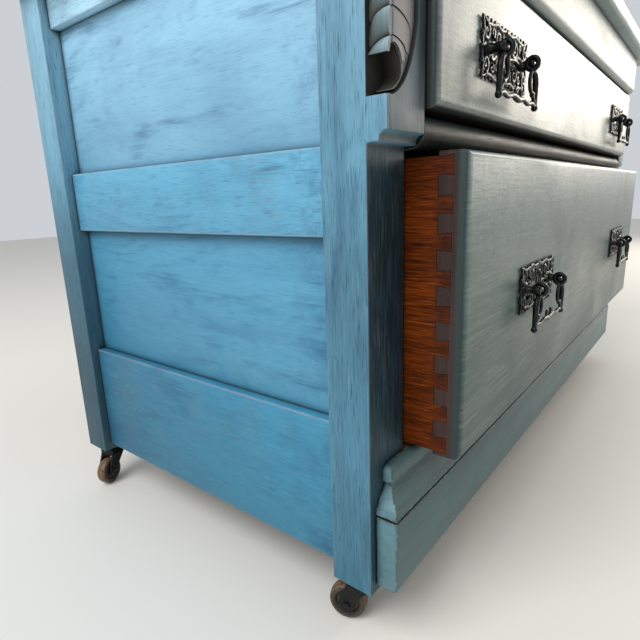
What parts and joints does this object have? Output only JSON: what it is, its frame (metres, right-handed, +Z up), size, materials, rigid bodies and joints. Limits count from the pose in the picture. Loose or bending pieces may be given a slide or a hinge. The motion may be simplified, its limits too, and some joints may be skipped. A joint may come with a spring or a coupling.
{
  "type": "dresser with drawers",
  "caption": "Low dresser on casters with panelled sides, carved corner posts and dovetailed drawers with bail pulls.",
  "frame": {"origin": "on the floor below the middle of the whole dresser, as stored with its lower drawer 40 mm open", "axes": "+Z up, front towards -Y, +X to the right of a person facing the front"},
  "size_m": [0.945, 0.519, 0.61],
  "materials": {
    "blue_paint": "brushed satin sky-blue paint with open oak grain and worn arrises",
    "grey_paint": "brushed satin grey-green paint, lighter on worn edges",
    "drawer_oak": "orange-brown oiled quarter-sawn oak",
    "case_wood": "unfinished aged softwood",
    "pull_metal": "blackened casting with bright rubbed highlights",
    "caster_iron": "blackened iron with a little rust",
    "wheel_wood": "turned brown hardwood, worn tread"
  },
  "bodies": {
    "case": {"left_front_post": "blue_paint", "right_front_post": "blue_paint", "left_rear_post": "blue_paint", "right_rear_post": "blue_paint", "left_bottom_rail": "blue_paint", "right_bottom_rail": "blue_paint", "left_middle_rail": "blue_paint", "right_middle_rail": "blue_paint", "left_top_rail": "blue_paint", "right_top_rail": "blue_paint", "left_lower_side_panel": "blue_paint", "right_lower_side_panel": "blue_paint", "left_upper_side_panel": "blue_paint", "right_upper_side_panel": "blue_paint", "left_lower_runner": "case_wood", "right_lower_runner": "case_wood", "left_upper_runner": "case_wood", "right_upper_runner": "case_wood", "back_rail": "case_wood", "back_panel": "case_wood", "top_board": "grey_paint", "frieze_rail": "grey_paint", "half_round_rail": "grey_paint", "front_bearer": "case_wood", "base_fascia": "grey_paint", "base_moulding": "grey_paint", "front_left_caster_socket": "caster_iron", "front_right_caster_socket": "caster_iron", "rear_left_caster_socket": "caster_iron", "rear_right_caster_socket": "caster_iron"},
    "lower_drawer": {"lower_drawer_front": "grey_paint", "lower_drawer_left_side": "drawer_oak", "lower_drawer_right_side": "drawer_oak", "lower_drawer_back": "drawer_oak", "lower_drawer_bottom": "drawer_oak", "lower_drawer_left_plate": "pull_metal", "lower_drawer_right_plate": "pull_metal"},
    "upper_drawer": {"upper_drawer_front": "grey_paint", "upper_drawer_left_side": "drawer_oak", "upper_drawer_right_side": "drawer_oak", "upper_drawer_back": "drawer_oak", "upper_drawer_bottom": "drawer_oak", "upper_drawer_left_plate": "pull_metal", "upper_drawer_right_plate": "pull_metal"},
    "lower_drawer_left_bail": {"lower_drawer_left_bail": "pull_metal"},
    "lower_drawer_right_bail": {"lower_drawer_right_bail": "pull_metal"},
    "upper_drawer_left_bail": {"upper_drawer_left_bail": "pull_metal"},
    "upper_drawer_right_bail": {"upper_drawer_right_bail": "pull_metal"},
    "front_left_caster_swivel": {"front_left_caster_fork": "caster_iron", "front_left_caster_axle": "caster_iron"},
    "front_left_caster_wheel": {"front_left_caster_wheel": "wheel_wood"},
    "front_right_caster_swivel": {"front_right_caster_fork": "caster_iron", "front_right_caster_axle": "caster_iron"},
    "front_right_caster_wheel": {"front_right_caster_wheel": "wheel_wood"},
    "rear_left_caster_swivel": {"rear_left_caster_fork": "caster_iron", "rear_left_caster_axle": "caster_iron"},
    "rear_left_caster_wheel": {"rear_left_caster_wheel": "wheel_wood"},
    "rear_right_caster_swivel": {"rear_right_caster_fork": "caster_iron", "rear_right_caster_axle": "caster_iron"},
    "rear_right_caster_wheel": {"rear_right_caster_wheel": "wheel_wood"}
  },
  "joints": [
    {"name": "lower_drawer_slide", "type": "slide", "parent": "case", "child": "lower_drawer", "axis": [0, -1, 0], "range_m": [-0.04, 0.26]},
    {"name": "upper_drawer_slide", "type": "slide", "parent": "case", "child": "upper_drawer", "axis": [0, -1, 0], "range_m": [0, 0.3]},
    {"name": "lower_drawer_left_bail_swing", "type": "hinge", "parent": "lower_drawer", "child": "lower_drawer_left_bail", "pos_m": [-0.2305, -0.25264, 0.276], "axis": [-1, 0, 0], "range_deg": [0, 100]},
    {"name": "lower_drawer_right_bail_swing", "type": "hinge", "parent": "lower_drawer", "child": "lower_drawer_right_bail", "pos_m": [0.2305, -0.25264, 0.276], "axis": [-1, 0, 0], "range_deg": [0, 100]},
    {"name": "upper_drawer_left_bail_swing", "type": "hinge", "parent": "upper_drawer", "child": "upper_drawer_left_bail", "pos_m": [-0.2825, -0.22794, 0.4715], "axis": [-1, 0, 0], "range_deg": [0, 100]},
    {"name": "upper_drawer_right_bail_swing", "type": "hinge", "parent": "upper_drawer", "child": "upper_drawer_right_bail", "pos_m": [0.2825, -0.22794, 0.4715], "axis": [-1, 0, 0], "range_deg": [0, 100]},
    {"name": "front_left_caster_swivel_turn", "type": "hinge", "parent": "case", "child": "front_left_caster_swivel", "pos_m": [-0.43275, -0.17154, 0.048], "axis": [0, 0, 1], "continuous": true},
    {"name": "front_left_caster_wheel_spin", "type": "hinge", "parent": "front_left_caster_swivel", "child": "front_left_caster_wheel", "pos_m": [-0.43891, -0.15462, 0.017], "axis": [-0.9397, -0.342, 0], "continuous": true},
    {"name": "front_right_caster_swivel_turn", "type": "hinge", "parent": "case", "child": "front_right_caster_swivel", "pos_m": [0.43275, -0.17154, 0.048], "axis": [0, 0, 1], "continuous": true},
    {"name": "front_right_caster_wheel_spin", "type": "hinge", "parent": "front_right_caster_swivel", "child": "front_right_caster_wheel", "pos_m": [0.43891, -0.15462, 0.017], "axis": [-0.9397, 0.342, 0], "continuous": true},
    {"name": "rear_left_caster_swivel_turn", "type": "hinge", "parent": "case", "child": "rear_left_caster_swivel", "pos_m": [-0.43275, 0.23946, 0.048], "axis": [0, 0, 1], "continuous": true},
    {"name": "rear_left_caster_wheel_spin", "type": "hinge", "parent": "rear_left_caster_swivel", "child": "rear_left_caster_wheel", "pos_m": [-0.44966, 0.23331, 0.017], "axis": [0.342, -0.9397, 0], "continuous": true},
    {"name": "rear_right_caster_swivel_turn", "type": "hinge", "parent": "case", "child": "rear_right_caster_swivel", "pos_m": [0.43275, 0.23946, 0.048], "axis": [0, 0, 1], "continuous": true},
    {"name": "rear_right_caster_wheel_spin", "type": "hinge", "parent": "rear_right_caster_swivel", "child": "rear_right_caster_wheel", "pos_m": [0.43891, 0.22255, 0.017], "axis": [0.9397, 0.342, 0], "continuous": true}
  ]
}
